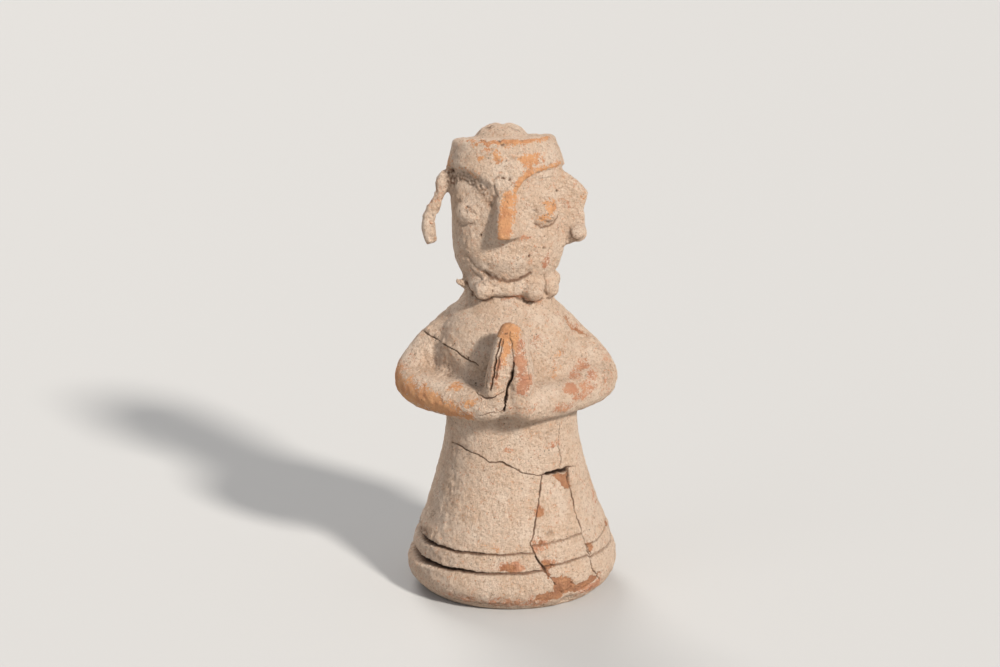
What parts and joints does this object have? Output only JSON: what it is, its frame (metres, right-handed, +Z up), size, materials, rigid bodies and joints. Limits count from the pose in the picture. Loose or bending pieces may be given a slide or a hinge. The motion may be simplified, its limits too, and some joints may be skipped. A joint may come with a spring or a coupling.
{
  "type": "votive figurine",
  "caption": "Standing terracotta votive figure, palms joined at the chest, on a bell-shaped hollow skirt with a flanged foot.",
  "frame": {"origin": "on the ground, at the middle of the figure's outline seen from above", "axes": "+Z up through the head, the face looks along -Y, +X to the viewer's right"},
  "size_m": [0.0837, 0.0796, 0.1765],
  "materials": {
    "terracotta": "unglazed fired clay, pale slip worn through to orange and pink"
  },
  "bodies": {
    "root": {"votive_figure": "terracotta"}
  },
  "joints": []
}
